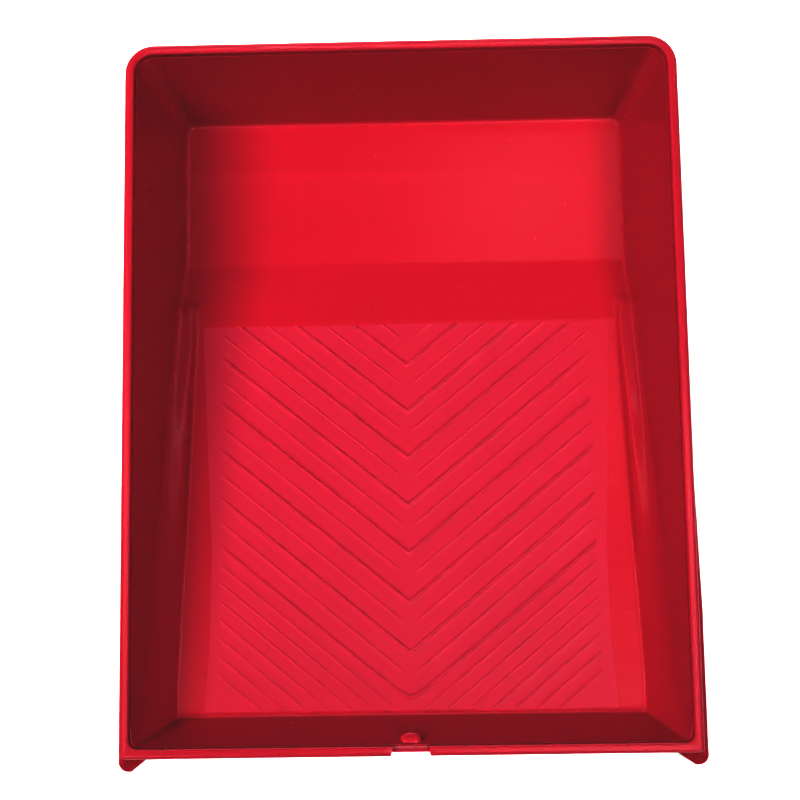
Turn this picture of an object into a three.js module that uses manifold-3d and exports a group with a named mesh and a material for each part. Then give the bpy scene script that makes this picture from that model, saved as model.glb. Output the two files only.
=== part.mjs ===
// Paint roller tray for a 9 inch (229 mm) roller, in millimetres, +Z up.
//
// The tray is one moulding in red polypropylene. It is built here as the named regions of that
// moulding: floors, walls, shoulders, rim, pouring lip and legs, each a closed solid of its own.
// +Y points to the deep well, -Y to the shallow end with the legs, +X to the right.
// Lengths along Y are measured from the middle of the rim, heights from the surface it stands on.

import * as THREE from "three";
import { mergeVertices } from "three/addons/utils/BufferGeometryUtils.js";
import Module from "manifold-3d";

const wasm = await Module();
wasm.setup();

// ---------------------------------------------------------------- driving dimensions

const RIM_LENGTH = 363; // outer length at the rim
const RIM_WIDTH = 286; // outer width at the rim
const HEIGHT = 77; // top of the rim above the table
const WALL = 1.6; // moulded wall thickness
const GAP = 0.3; // clearance between neighbouring regions

const RIM_BAND = 5; // width and depth of the rounded rim
const RIM_FAR_RADIUS = 10; // inner corner radius of the rim at the deep end
const RIM_FRONT_RADIUS = 4; // inner corner radius of the rim at the shallow end
const RIM_CORNER_STEPS = 6;

const DRAFT = 0.2; // lean of the side and far walls, run per rise
const FRONT_DRAFT = 0.3; // lean of the front wall
const WELL_CORNER_RADIUS = 6; // corner radius of the well at its floor

const WELL_END = 80; // where the well floor turns up into the entry slope
const RAMP_START = 45.6; // where the entry slope meets the ramp
const RAMP_START_RISE = 8.8; // ramp start above the well floor
const RAMP_SLOPE = 0.121; // rise per run of the ramp
const RAMP_START_HALF = 116; // half width of the ramp where it starts
const RAMP_FLARE = 0.0275; // growth of that half width along the ramp

const SHOULDER_START = 59; // where the side shoulders rise out of the entry slope
const SHOULDER_SLOPE = 0.1985; // rise per run of the shoulder's outer edge
const SHOULDER_START_RISE = 9.3; // outer edge above the well floor at its start
const STEP_HEIGHT = 6.2; // upright inner face of a shoulder
const STEP_LEAN = 0.35; // run per rise of that face
const STEP_FADE_START = -57; // the upright face fades out between these two places
const STEP_FADE_END = -112;
const STEP_CLEARANCE = 0.3; // the upright face stays this far below the shoulder's outer edge
const STEP_MINIMUM = 0.15; // what is left of it where it has faded out
const SHOULDER_BLOCK = 2; // length of the solid end of a shoulder, on the entry slope
const SHOULDER_STEPS = 14;
const SHOULDER_TURN = (80 * Math.PI) / 180; // how far a shoulder follows the front corner round
const SHOULDER_TURN_STEPS = 5;
const FRONT_CORNER_START = -151; // where the side wall starts to turn towards the front wall
const FRONT_CORNER_HALF = 122.2; // half width of the front wall at its foot

const RIB_ANGLE = Math.atan(0.816); // slope of the chevron arms in plan
const RIB_REACH = 100.5; // how far the arms reach from the centre line
const CHEVRON_FIRST = 20.2; // tip of the chevron nearest the well
const CHEVRON_LAST = -160; // tip of the chevron nearest the front
const CHEVRON_COUNT = 8;
const MAJOR_RIB = { width: 2.2, height: 0.9 };
const MINOR_RIB = { width: 1.1, height: 0.45 }; // one between each two major ribs, and the corner ribs
const MINOR_RIB_GAP = 3.5; // a minor rib stops this far from the centre line
const RIB_CREST = 0.4; // crest width as a share of a rib's width
const RIB_TOP_MARGIN = 3; // smooth strips along the top and the front of the ramp
const RIB_FRONT_MARGIN = 1;
const RIB_SHORTEST = 6;
const CORNER_RIB_COUNT = 7; // parallel ribs that fill each front corner of the ramp
const CORNER_RIB_PITCH = 9.5; // spacing of those ribs along Y

const NOTCH_HALF = 8.3; // half width of the gap in the front rim
const NOTCH_SLANT = 1.6; // lean of the gap's ends
const LIP_REACH = 3; // how far the pouring lip leans out
const LIP_RISE = 2.8;
const LIP_EDGE = 1; // width of its top edge
const NUB_SECTIONS = [
  { z: 61.5, half: 3.4, reach: 0.95 },
  { z: 65.7, half: 5.4, reach: 3 },
  { z: 68.8, half: 5.7, reach: 3.8 },
  { z: 70, half: 4.3, reach: 2.85 },
];
const NUB_STEPS = 8;

const LEG_FLARE = 16.5; // outward lean of the legs, from rim to foot
const LEG_REAR_TOP = -23; // rear edge of the leg's side plate, at the rim and at the foot
const LEG_REAR_FOOT = -116;
const LEG_FRONT_TOP = 129.5; // half width where the front plate starts, at the rim and at the foot
const LEG_FRONT_FOOT = 152.5;
const LEG_CORNER_RADIUS_TOP = 2.5;
const LEG_CORNER_RADIUS_FOOT = 5;
const LEG_CORNER_STEPS = 6;

// ---------------------------------------------------------------- surfaces of the tray

const FLOOR_TOP = WALL;
const WALL_TOP = HEIGHT - RIM_BAND;
const WALL_TOP_X = RIM_WIDTH / 2 - RIM_BAND;
const WALL_TOP_Y = RIM_LENGTH / 2 - RIM_BAND;
const ENTRY_SLOPE = RAMP_START_RISE / (WELL_END - RAMP_START);

const sideWallX = (z) => WALL_TOP_X - DRAFT * (WALL_TOP - z);
const farWallY = (z) => WALL_TOP_Y - DRAFT * (WALL_TOP - z);
const frontWallY = (z) => -WALL_TOP_Y + FRONT_DRAFT * (WALL_TOP - z);

function floorZ(y) {
  if (y >= WELL_END) return FLOOR_TOP;
  if (y >= RAMP_START) return FLOOR_TOP + ENTRY_SLOPE * (WELL_END - y);
  return FLOOR_TOP + RAMP_START_RISE + RAMP_SLOPE * (RAMP_START - y);
}

const rampHalf = (y) => RAMP_START_HALF + RAMP_FLARE * (RAMP_START - y);
const creaseZ = (y) => FLOOR_TOP + SHOULDER_START_RISE + SHOULDER_SLOPE * (SHOULDER_START - y);

// The ramp ends where it meets the leaning front wall.
const RAMP_END = (() => {
  const level = floorZ(RAMP_START) + RAMP_SLOPE * RAMP_START;
  const wallFoot = -WALL_TOP_Y + FRONT_DRAFT * (WALL_TOP - level);
  return wallFoot / (1 - FRONT_DRAFT * RAMP_SLOPE);
})();
const RAMP_END_Z = floorZ(RAMP_END);
const PLATE_END = frontWallY(RAMP_END_Z - WALL) + GAP; // clear of the wall down to the underside

const smooth = (t) => t * t * (3 - 2 * t);
const clamp01 = (t) => Math.min(Math.max(t, 0), 1);

// Height of a shoulder's upright inner face at y.
function stepHeight(y) {
  const available = creaseZ(y) - floorZ(y) - STEP_CLEARANCE;
  const fade = 1 - smooth(clamp01((STEP_FADE_START - y) / (STEP_FADE_START - STEP_FADE_END)));
  return Math.max(Math.min(STEP_HEIGHT, available) * fade, STEP_MINIMUM);
}

// ---------------------------------------------------------------- closed solids

const vec = (x, y, z) => new THREE.Vector3(x, y, z);

function signedVolume(points, triangles) {
  return triangles.reduce((sum, [a, b, c]) => {
    return sum + points[a].dot(points[b].clone().cross(points[c])) / 6;
  }, 0);
}

function geometryOf(points, triangles) {
  const outward = signedVolume(points, triangles) > 0;
  const index = triangles.flatMap(([a, b, c]) => (outward ? [a, b, c] : [a, c, b]));
  const geometry = new THREE.BufferGeometry().setFromPoints(points);
  geometry.setIndex(index);
  return geometry;
}

// Side faces that join a ring of front points to the same ring of back points.
function sideFaces(ring, backOf) {
  return ring.flatMap((p, i) => {
    const q = ring[(i + 1) % ring.length];
    return [[p, backOf(p), q], [q, backOf(p), backOf(q)]];
  });
}

// A flat outline of [u, v] points, placed twice by place(u, v, side): 0 paint side, 1 back.
function slab(outline, place) {
  const flat = outline.map(([u, v]) => new THREE.Vector2(u, v));
  if (THREE.ShapeUtils.isClockWise(flat)) flat.reverse();
  const count = flat.length;
  const points = [0, 1].flatMap((side) => flat.map((p) => place(p.x, p.y, side)));
  const faces = THREE.ShapeUtils.triangulateShape(flat, []);
  const backs = faces.map(([a, b, c]) => [a + count, c + count, b + count]);
  const sides = sideFaces(flat.map((_, i) => i), (i) => i + count);
  return geometryOf(points, [...faces, ...backs, ...sides]);
}

// A curved sheet with thickness: two grids of points, front[i][j] and back[i][j].
function shell(front, back) {
  const rows = front.length;
  const columns = front[0].length;
  const count = rows * columns;
  const at = (i, j) => i * columns + j;
  const faces = [];
  for (let i = 0; i + 1 < rows; i++) {
    for (let j = 0; j + 1 < columns; j++) {
      const [a, b, c, d] = [at(i, j), at(i + 1, j), at(i + 1, j + 1), at(i, j + 1)];
      faces.push([a, b, c], [a, c, d]);
      faces.push([a + count, c + count, b + count], [a + count, d + count, c + count]);
    }
  }
  const ring = [];
  for (let i = 0; i + 1 < rows; i++) ring.push(at(i, 0));
  for (let j = 0; j + 1 < columns; j++) ring.push(at(rows - 1, j));
  for (let i = rows - 1; i > 0; i--) ring.push(at(i, columns - 1));
  for (let j = columns - 1; j > 0; j--) ring.push(at(0, j));
  const points = [...front.flat(), ...back.flat()];
  return geometryOf(points, [...faces, ...sideFaces(ring, (p) => p + count)]);
}

// A bar through convex sections that all have the same number of points.
function bar(sections) {
  const size = sections[0].length;
  const last = (sections.length - 1) * size;
  const faces = [];
  for (let s = 0; s + 1 < sections.length; s++) {
    for (let i = 0; i < size; i++) {
      const j = (i + 1) % size;
      const [a, b, c, d] = [s * size + i, s * size + j, (s + 1) * size + j, (s + 1) * size + i];
      faces.push([a, b, c], [a, c, d]);
    }
  }
  for (let i = 1; i + 1 < size; i++) faces.push([0, i + 1, i], [last, last + i, last + i + 1]);
  return geometryOf(sections.flat(), faces);
}

const range = (count) => Array.from({ length: count }, (_, i) => i);

// Values from a to b in equal steps, both ends included.
const spread = (a, b, steps) => range(steps + 1).map((i) => a + ((b - a) * i) / steps);

// ---------------------------------------------------------------- joining with manifold

function toManifold(geometry) {
  const bare = geometry.clone();
  bare.deleteAttribute("normal");
  bare.deleteAttribute("uv");
  const merged = mergeVertices(bare, 1e-5);
  const vertProperties = new Float32Array(merged.attributes.position.array);
  const triVerts = new Uint32Array(merged.index.array);
  return new wasm.Manifold(new wasm.Mesh({ numProp: 3, vertProperties, triVerts }));
}

function fromManifold(manifold) {
  const mesh = manifold.getMesh();
  const geometry = new THREE.BufferGeometry();
  geometry.setAttribute("position", new THREE.BufferAttribute(new Float32Array(mesh.vertProperties), 3));
  geometry.setIndex(new THREE.BufferAttribute(new Uint32Array(mesh.triVerts), 1));
  return geometry;
}

// ---------------------------------------------------------------- floors and ribs

// Outline of a floor region: its right-hand edge from front to back, mirrored to the left.
const mirrored = (rightEdge) => [...rightEdge, ...rightEdge.map(([x, y]) => [-x, y]).reverse()];

function wellFloor() {
  const half = sideWallX(0) - GAP;
  const far = farWallY(0) - GAP;
  const radius = WELL_CORNER_RADIUS;
  const corner = spread(0, Math.PI / 2, RIM_CORNER_STEPS).map((angle) => [
    half - radius + radius * Math.cos(angle),
    far - radius + radius * Math.sin(angle),
  ]);
  const edge = [[half, WELL_END], ...corner];
  return slab(mirrored(edge), (x, y, side) => vec(x, y, FLOOR_TOP - WALL * side));
}

function entrySlope() {
  const start = WELL_END - GAP;
  const end = RAMP_START + GAP;
  const wide = sideWallX(floorZ(SHOULDER_START) - WALL) - GAP;
  const narrow = rampHalf(SHOULDER_START) - GAP;
  const edge = [
    [narrow, end],
    [narrow, SHOULDER_START + GAP],
    [wide, SHOULDER_START + GAP],
    [sideWallX(0) - GAP, start],
  ];
  return slab(mirrored(edge), (x, y, side) => vec(x, y, Math.max(floorZ(y) - WALL * side, 0)));
}

function rampPlate() {
  const edge = [
    [rampHalf(PLATE_END) - GAP, PLATE_END],
    [rampHalf(RAMP_START) - GAP, RAMP_START],
  ];
  return slab(mirrored(edge), (x, y, side) => vec(x, y, floorZ(y) - WALL * side));
}

// One straight rib on the ramp: a low ridge from |x| = inner to |x| = outer whose line passes
// through y = tip on the centre line. It is sunk into the plate so that the two join.
function ribArm(side, tip, inner, outer, { width, height }) {
  const along = vec(side * Math.cos(RIB_ANGLE), Math.sin(RIB_ANGLE), 0);
  const across = vec(-along.y, along.x, 0);
  const sink = WALL / 2;
  const foot = width / 2;
  const crest = foot * RIB_CREST;
  const section = (reach) => {
    const centre = vec(0, tip, 0).addScaledVector(along, reach / Math.cos(RIB_ANGLE));
    const corners = [[-foot, -sink], [foot, -sink], [crest, height], [-crest, height]];
    return corners.map(([offset, rise]) => {
      const p = centre.clone().addScaledVector(across, offset);
      return vec(p.x, p.y, floorZ(Math.min(p.y, RAMP_START)) + rise);
    });
  };
  return bar([section(inner), section(outer)]);
}

// The stretch of an arm, as distances from the centre line, that lies on the ribbed panel.
function armSpan(tip, inner) {
  const slope = Math.tan(RIB_ANGLE);
  const outer = Math.min(RIB_REACH, (RAMP_START - RIB_TOP_MARGIN - tip) / slope);
  const first = Math.max(inner, (CHEVRON_LAST - RIB_FRONT_MARGIN - tip) / slope);
  return outer - first > RIB_SHORTEST ? [first, outer] : null;
}

function rampPanel() {
  const pitch = (CHEVRON_FIRST - CHEVRON_LAST) / (CHEVRON_COUNT - 1);
  const majors = range(CHEVRON_COUNT).map((i) => [CHEVRON_FIRST - i * pitch, 0, MAJOR_RIB]);
  const minors = range(CHEVRON_COUNT).map((i) => {
    return [CHEVRON_FIRST + (0.5 - i) * pitch, MINOR_RIB_GAP, MINOR_RIB];
  });
  const corners = range(CORNER_RIB_COUNT).map((i) => {
    return [CHEVRON_LAST - (i + 1) * CORNER_RIB_PITCH, 0, MINOR_RIB];
  });
  let panel = toManifold(rampPlate());
  for (const [tip, inner, rib] of [...majors, ...minors, ...corners]) {
    const span = armSpan(tip, inner);
    if (!span) continue;
    for (const side of [-1, 1]) panel = panel.add(toManifold(ribArm(side, tip, ...span, rib)));
  }
  return fromManifold(panel);
}

// ---------------------------------------------------------------- walls

const sideWallAt = (hand) => (y, z, side) => vec(hand * (sideWallX(z) + WALL * side), y, z);
const WALL_EDGE = WALL_TOP - GAP;

// Side of the well and the entry slope, up to the rim and back to the far corner.
function wellWall(hand) {
  const start = SHOULDER_START + GAP / 2;
  const outline = [
    [start, floorZ(start) - WALL],
    [WELL_END, 0],
    [farWallY(0) - WELL_CORNER_RADIUS - GAP, 0],
    [WALL_TOP_Y - RIM_FAR_RADIUS - GAP, WALL_EDGE],
    [start, WALL_EDGE],
  ];
  return slab(outline, sideWallAt(hand));
}

// Upper side wall along the ramp, above the shoulder.
function rampWall(hand) {
  const start = SHOULDER_START - GAP / 2;
  const outline = [
    [start, creaseZ(start) + GAP],
    [start, WALL_EDGE],
    [-WALL_TOP_Y + RIM_FRONT_RADIUS + GAP, WALL_EDGE],
    [FRONT_CORNER_START + GAP, creaseZ(FRONT_CORNER_START) + GAP],
  ];
  return slab(outline, sideWallAt(hand));
}

function farWall() {
  const foot = sideWallX(0) - WELL_CORNER_RADIUS - GAP;
  const top = WALL_TOP_X - RIM_FAR_RADIUS - GAP;
  const outline = [[-foot, 0], [foot, 0], [top, WALL_EDGE], [-top, WALL_EDGE]];
  return slab(outline, (x, z, side) => vec(x, farWallY(z) + WALL * side, z));
}

function frontWall() {
  const foot = FRONT_CORNER_HALF - GAP;
  const top = WALL_TOP_X - RIM_FRONT_RADIUS - GAP;
  const low = RAMP_END_Z - WALL;
  const rightEdge = [[foot, low], [foot, RAMP_END_Z], [top, WALL_EDGE]];
  const outline = mirrored(rightEdge);
  return slab(outline, (x, z, side) => vec(x, frontWallY(z) - WALL * side, z));
}

// A corner wall is ruled from an arc under the rim to a curve at its foot. Each row of the grid
// is one ruling: [top point, foot point] with the outward direction in plan.
function cornerWall(rulings) {
  const front = rulings.map(({ top, foot }) => [top, foot]);
  const back = rulings.map(({ top, foot, outward }) => {
    return [top, foot].map((p) => p.clone().addScaledVector(outward, WALL));
  });
  return shell(front, back);
}

function farCorner(hand) {
  const arcPoint = (x, y, radius, angle, z) => {
    return vec(hand * (x - radius + radius * Math.cos(angle)), y - radius + radius * Math.sin(angle), z);
  };
  const rulings = spread(0, Math.PI / 2, RIM_CORNER_STEPS).map((angle) => ({
    top: arcPoint(sideWallX(WALL_EDGE), farWallY(WALL_EDGE), RIM_FAR_RADIUS, angle, WALL_EDGE),
    foot: arcPoint(sideWallX(0), farWallY(0), WELL_CORNER_RADIUS, angle, 0),
    outward: vec(hand * Math.cos(angle), Math.sin(angle), 0),
  }));
  return cornerWall(rulings);
}

// Foot of the front corner wall: from the shoulder's outer edge round to the front wall's foot.
function frontCornerFoot(angle) {
  const start = { x: sideWallX(creaseZ(FRONT_CORNER_START)), z: creaseZ(FRONT_CORNER_START) };
  const [cos, sin] = [Math.cos(angle), Math.sin(angle)];
  const x = FRONT_CORNER_HALF + (start.x - FRONT_CORNER_HALF) * cos;
  const y = FRONT_CORNER_START + (RAMP_END - FRONT_CORNER_START) * sin;
  const z = start.z + (RAMP_END_Z - start.z) * (1 - cos);
  return { x, y, z };
}

function frontCorner(hand) {
  const radius = RIM_FRONT_RADIUS;
  const rulings = spread(0, Math.PI / 2, RIM_CORNER_STEPS).map((angle) => {
    const foot = frontCornerFoot(angle);
    const x = sideWallX(WALL_EDGE) - radius + radius * Math.cos(angle);
    const y = frontWallY(WALL_EDGE) + radius - radius * Math.sin(angle);
    return {
      top: vec(hand * x, y, WALL_EDGE),
      foot: vec(hand * foot.x, foot.y, foot.z + GAP),
      outward: vec(hand * Math.cos(angle), -Math.sin(angle), 0),
    };
  });
  return cornerWall(rulings);
}

// ---------------------------------------------------------------- shoulders

// Across a shoulder: foot at the ramp, top of the upright face, outer edge at the wall.
function shoulderSection(y, outer) {
  const step = stepHeight(y);
  const foot = { x: rampHalf(y), z: floorZ(y) };
  const brim = { x: Math.min(foot.x + STEP_LEAN * step, outer.x), z: foot.z + step };
  return [foot, brim, outer];
}

function shoulder(hand) {
  const start = SHOULDER_START - GAP / 2;
  const body = spread(RAMP_START - GAP, FRONT_CORNER_START, SHOULDER_STEPS);
  const along = [start, start - SHOULDER_BLOCK, ...body];
  const straight = along.map((y) => {
    return { y, section: shoulderSection(y, { x: sideWallX(creaseZ(y)), z: creaseZ(y) }) };
  });
  const turning = spread(0, SHOULDER_TURN, SHOULDER_TURN_STEPS).slice(1).map((angle) => {
    const outer = frontCornerFoot(angle);
    const y = Math.max(outer.y, PLATE_END);
    return { y, section: shoulderSection(y, outer) };
  });
  const stations = [...straight, ...turning];
  const place = (point, y, drop) => vec(hand * point.x, y, point.z - drop);
  const front = stations.map(({ y, section }) => section.map((p) => place(p, y, 0)));
  const back = stations.map(({ y, section }, i) => {
    const closed = i < 2; // the raised end is solid down to the entry slope
    return section.map((p) => place(p, y, closed ? p.z - floorZ(y) + WALL : WALL));
  });
  return shell(front, back);
}

// ---------------------------------------------------------------- rim

// Rounded section of the rim: [outward offset from its inner edge, height].
const RIM_PROFILE = [
  [0, WALL_TOP],
  [0, HEIGHT - 2],
  [0.7, HEIGHT - 0.6],
  [RIM_BAND / 2, HEIGHT],
  [RIM_BAND - 0.7, HEIGHT - 0.6],
  [RIM_BAND, HEIGHT - 2],
  [RIM_BAND, WALL_TOP],
];

// Rim section standing at a point of the inner edge, facing outward in plan.
const rimSection = (x, y, outX, outY) => {
  return RIM_PROFILE.map(([offset, z]) => vec(x + outX * offset, y + outY * offset, z));
};

function rimSide(hand) {
  const far = WALL_TOP_Y - RIM_FAR_RADIUS - GAP;
  const front = -WALL_TOP_Y + RIM_FRONT_RADIUS + GAP;
  return bar([far, front].map((y) => rimSection(hand * WALL_TOP_X, y, hand, 0)));
}

function rimFar() {
  const half = WALL_TOP_X - RIM_FAR_RADIUS - GAP;
  return bar([-half, half].map((x) => rimSection(x, WALL_TOP_Y, 0, 1)));
}

function rimFront(hand) {
  const corner = WALL_TOP_X - RIM_FRONT_RADIUS - GAP;
  const outerEnd = rimSection(hand * corner, -WALL_TOP_Y, 0, -1);
  const notchEnd = RIM_PROFILE.map(([offset, z]) => {
    const x = NOTCH_HALF + (NOTCH_SLANT * (z - WALL_TOP)) / RIM_BAND;
    return vec(hand * x, -WALL_TOP_Y - offset, z);
  });
  return bar([outerEnd, notchEnd]);
}

function rimFarCorner(hand) {
  const x = WALL_TOP_X - RIM_FAR_RADIUS;
  const y = WALL_TOP_Y - RIM_FAR_RADIUS;
  const sections = spread(0, Math.PI / 2, RIM_CORNER_STEPS).map((angle) => {
    const [cos, sin] = [Math.cos(angle), Math.sin(angle)];
    const [px, py] = [x + RIM_FAR_RADIUS * cos, y + RIM_FAR_RADIUS * sin];
    return rimSection(hand * px, py, hand * cos, sin);
  });
  return bar(sections);
}

// Front corner: rounded inside, nearly square outside, so its band widens on the diagonal.
function rimFrontCorner(hand) {
  const x = WALL_TOP_X - RIM_FRONT_RADIUS;
  const y = -WALL_TOP_Y + RIM_FRONT_RADIUS;
  const outerRadius = LEG_CORNER_RADIUS_TOP;
  const outerX = RIM_WIDTH / 2 - outerRadius;
  const outerY = -RIM_LENGTH / 2 + outerRadius;
  const sections = spread(0, Math.PI / 2, RIM_CORNER_STEPS).map((angle, i, all) => {
    const [cos, sin] = [Math.cos(angle), Math.sin(angle)];
    const inner = vec(x + RIM_FRONT_RADIUS * cos, y - RIM_FRONT_RADIUS * sin, 0);
    const outer = vec(outerX + outerRadius * cos, outerY - outerRadius * sin, 0);
    if (i === 0) outer.y = y;
    if (i === all.length - 1) outer.x = x;
    return RIM_PROFILE.map(([offset, z]) => {
      const p = inner.clone().lerp(outer, offset / RIM_BAND);
      return vec(hand * p.x, p.y, z);
    });
  });
  return bar(sections);
}

// ---------------------------------------------------------------- pouring lip and nub

function pouringLip() {
  const profile = [
    [0, WALL_TOP],
    [LIP_REACH - LIP_EDGE, WALL_TOP + LIP_RISE],
    [LIP_REACH, WALL_TOP + LIP_RISE],
    [LIP_REACH, WALL_TOP],
  ];
  const section = (hand) => profile.map(([offset, z]) => {
    return vec(hand * (NOTCH_HALF - GAP), -WALL_TOP_Y - offset, z);
  });
  return bar([section(-1), section(1)]);
}

// Rounded wedge on the paint side of the front wall, under the lip.
function frontNub() {
  const outline = ({ z, half, reach }) => {
    const base = frontWallY(z) + GAP;
    return spread(0, Math.PI, NUB_STEPS).map((angle) => {
      return vec(half * Math.cos(angle), base + reach * Math.sin(angle), z);
    });
  };
  return bar(NUB_SECTIONS.map(outline));
}

// ---------------------------------------------------------------- legs

// Plan curve of a leg at one level: along the side, round the corner, along the front.
function legCurve(hand, spreadOut, radius, rear, frontHalf) {
  const x = RIM_WIDTH / 2 + spreadOut;
  const y = -RIM_LENGTH / 2 - spreadOut;
  const corner = spread(0, Math.PI / 2, LEG_CORNER_STEPS).map((angle) => ({
    x: x - radius + radius * Math.cos(angle),
    y: y + radius - radius * Math.sin(angle),
    outward: vec(hand * Math.cos(angle), -Math.sin(angle), 0),
  }));
  const side = { x, y: rear, outward: vec(hand, 0, 0) };
  const front = { x: frontHalf, y, outward: vec(0, -1, 0) };
  return [side, ...corner, front];
}

// One leg is a bent plate, split where it turns the corner into a side plate and a front plate.
function legPlate(hand, part) {
  const top = legCurve(hand, 0, LEG_CORNER_RADIUS_TOP, LEG_REAR_TOP, LEG_FRONT_TOP);
  const foot = legCurve(hand, LEG_FLARE, LEG_CORNER_RADIUS_FOOT, LEG_REAR_FOOT, LEG_FRONT_FOOT);
  const turn = 1 + LEG_CORNER_STEPS / 2;
  const kept = part === "side" ? [0, turn + 1] : [turn, top.length];
  const shift = part === "side" ? 0 : -GAP;
  const place = (p, z, inset) => {
    return vec(hand * (p.x + shift), p.y, z).addScaledVector(p.outward, -inset);
  };
  const rows = range(top.length).slice(...kept);
  const grid = (inset) => rows.map((i) => {
    return [place(top[i], WALL_EDGE, inset), place(foot[i], 0, inset)];
  });
  return shell(grid(0), grid(WALL));
}

// ---------------------------------------------------------------- assembly

const RED = new THREE.Color(0xc4122b);

const smoothPlastic = new THREE.MeshStandardMaterial({ color: RED, roughness: 0.25, metalness: 0 });
const ribbedPlastic = new THREE.MeshStandardMaterial({ color: RED, roughness: 0.5, metalness: 0 });

const tray = new THREE.Group();
tray.position.y = LEG_FLARE / 2; // puts the origin under the middle of the whole tray

function add(name, geometry, material = smoothPlastic) {
  const mesh = new THREE.Mesh(geometry, material.clone());
  mesh.name = name;
  tray.add(mesh);
}

add("well_floor", wellFloor());
add("entry_slope", entrySlope());
add("ramp_panel", rampPanel(), ribbedPlastic);
add("far_wall", farWall());
add("front_wall", frontWall());
add("rim_far", rimFar());
add("pouring_lip", pouringLip());
add("front_nub", frontNub());

for (const [sideName, hand] of [["left", -1], ["right", 1]]) {
  add(`well_wall_${sideName}`, wellWall(hand));
  add(`ramp_wall_${sideName}`, rampWall(hand));
  add(`shoulder_${sideName}`, shoulder(hand));
  add(`far_corner_${sideName}`, farCorner(hand));
  add(`front_corner_${sideName}`, frontCorner(hand));
  add(`rim_${sideName}`, rimSide(hand));
  add(`rim_front_${sideName}`, rimFront(hand));
  add(`rim_far_corner_${sideName}`, rimFarCorner(hand));
  add(`rim_front_corner_${sideName}`, rimFrontCorner(hand));
  add(`leg_side_${sideName}`, legPlate(hand, "side"));
  add(`leg_front_${sideName}`, legPlate(hand, "front"));
}

export default tray;
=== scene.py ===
"""Paint roller tray: its looks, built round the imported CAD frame.

The tray is one red polypropylene moulding. Its shell is a single sheet: the flat faces of the
tray, with a fillet wherever two of them meet. The rolled rim, the ribbed panel, the pouring lip,
the nub below it and the two legs are pieces of their own that close up against that sheet.

Dimensions are in millimetres. x runs across the tray, y along it from the middle of the rim
towards the deep well, and z up from the surface it stands on. put() turns them into metres in
the row frame.
"""

import math

import bmesh
import bpy
import numpy as np
from mathutils import Euler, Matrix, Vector


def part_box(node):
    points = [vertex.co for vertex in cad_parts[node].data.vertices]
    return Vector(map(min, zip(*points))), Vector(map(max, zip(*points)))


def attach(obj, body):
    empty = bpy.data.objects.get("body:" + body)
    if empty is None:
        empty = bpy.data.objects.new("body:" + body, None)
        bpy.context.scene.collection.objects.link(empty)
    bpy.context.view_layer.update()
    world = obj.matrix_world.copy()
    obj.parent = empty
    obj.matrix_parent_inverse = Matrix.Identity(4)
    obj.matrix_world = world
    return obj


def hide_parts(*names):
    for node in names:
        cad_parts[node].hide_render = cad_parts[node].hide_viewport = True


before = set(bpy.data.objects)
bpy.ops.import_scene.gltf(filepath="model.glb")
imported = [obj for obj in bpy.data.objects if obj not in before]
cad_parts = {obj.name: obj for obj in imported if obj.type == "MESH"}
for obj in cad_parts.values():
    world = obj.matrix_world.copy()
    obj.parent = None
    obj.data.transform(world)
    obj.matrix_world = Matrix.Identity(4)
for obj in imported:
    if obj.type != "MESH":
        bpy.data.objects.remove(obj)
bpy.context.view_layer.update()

# ---------------------------------------------------------------- dimensions from the frame

MM = 0.001


def low(node):
    return np.array(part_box(node)[0]) / MM


def high(node):
    return np.array(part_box(node)[1]) / MM


MID_Y = (high("rim_far")[1] + low("rim_front_left")[1]) / 2  # the rim's middle, in the row frame
RIM_LENGTH = high("rim_far")[1] - low("rim_front_left")[1]
RIM_WIDTH = high("rim_right")[0] - low("rim_left")[0]
RIM_BAND = high("rim_right")[0] - low("rim_right")[0]
HEIGHT = high("rim_far")[2]
WALL_TOP = low("rim_far")[2]
WALL = high("well_floor")[2]  # thickness of the moulding
WELL_END = low("well_floor")[1] - MID_Y
RAMP_START = high("ramp_panel")[1] - MID_Y
SHOULDER_START = high("shoulder_right")[1] - MID_Y
NOTCH_HALF = low("rim_front_right")[0]
LEG_TOP = high("leg_side_right")[2]
LEG_FLARE = high("leg_side_right")[0] - RIM_WIDTH / 2
LEG_REAR_TOP = high("leg_side_right")[1] - MID_Y
LIP_TOP = high("pouring_lip")[2]
LIP_REACH = high("pouring_lip")[1] - low("pouring_lip")[1]
NUB_HALF = high("front_nub")[0]
NUB_TOP = high("front_nub")[2]
NUB_FOOT = low("front_nub")[2]

# ---------------------------------------------------------------- dimensions of the moulding

DRAFT = 0.2  # lean of the side and far walls, run per rise
FRONT_DRAFT = 0.3  # lean of the front wall
RAMP_START_RISE = 8.8  # ramp start above the well floor
RAMP_SLOPE = 0.121
RAMP_START_HALF = 116  # half width of the ramp where it starts
RAMP_FLARE = 0.0275  # growth of that half width along the ramp

SHOULDER_SLOPE = 0.1985  # rise per run of a shoulder's outer edge
SHOULDER_START_RISE = 9.3  # that edge above the well floor at its start
STEP_HEIGHT = 6.2  # upright inner face of a shoulder
STEP_LEAN = 0.35
STEP_START_LEAN = 1.2  # the face leans this much where it starts, easing off over STEP_EASE
STEP_EASE = 28
STEP_FADE = (-57, -112)  # the upright face fades out between these two places
STEP_CLEARANCE = 0.3  # its top stays this far below the shoulder's outer edge
STEP_LEAST = 0.1  # what is left of its height where it has faded out
SHOULDER_END_LEAN = 1.2  # lean of a shoulder's end towards the well

FRONT_CORNER_START = -151  # where the side wall starts to turn towards the front wall
FRONT_CORNER_HALF = 122.2  # half width of the front wall at its foot

WELL_CORNER_RADIUS = 6  # upright corners of the well at its floor
LEAST_CORNER_RADIUS = 1  # for heights far below the floor
RIM_FAR_RADIUS = 10  # inner corner radii of the rim
RIM_FRONT_RADIUS = 4
RIM_OUTER_FRONT_RADIUS = 2.5

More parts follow.
